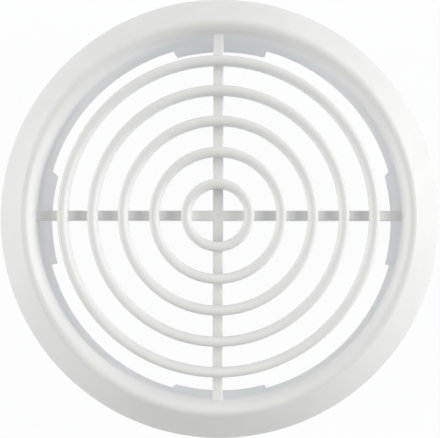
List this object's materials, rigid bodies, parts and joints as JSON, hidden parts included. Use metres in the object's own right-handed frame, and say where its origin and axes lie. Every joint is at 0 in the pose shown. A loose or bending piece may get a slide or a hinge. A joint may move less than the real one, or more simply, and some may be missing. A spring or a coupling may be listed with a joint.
{
  "type": "round vent cover",
  "caption": "Round white plastic vent cover: dished flange, concentric rings on cross bars over an open throat, and a short collar with tabs that push into a round duct.",
  "frame": {"origin": "centre of the flange's foot, in the plane that lies on the wall, on the collar's axis", "axes": "+Z out of the wall along the collar's axis, +X and +Y along the cross bars"},
  "size_m": [0.1172, 0.1172, 0.0255],
  "materials": {
    "white_abs": "satin"
  },
  "bodies": {
    "root": {"vent_cover": "white_abs"}
  },
  "joints": []
}
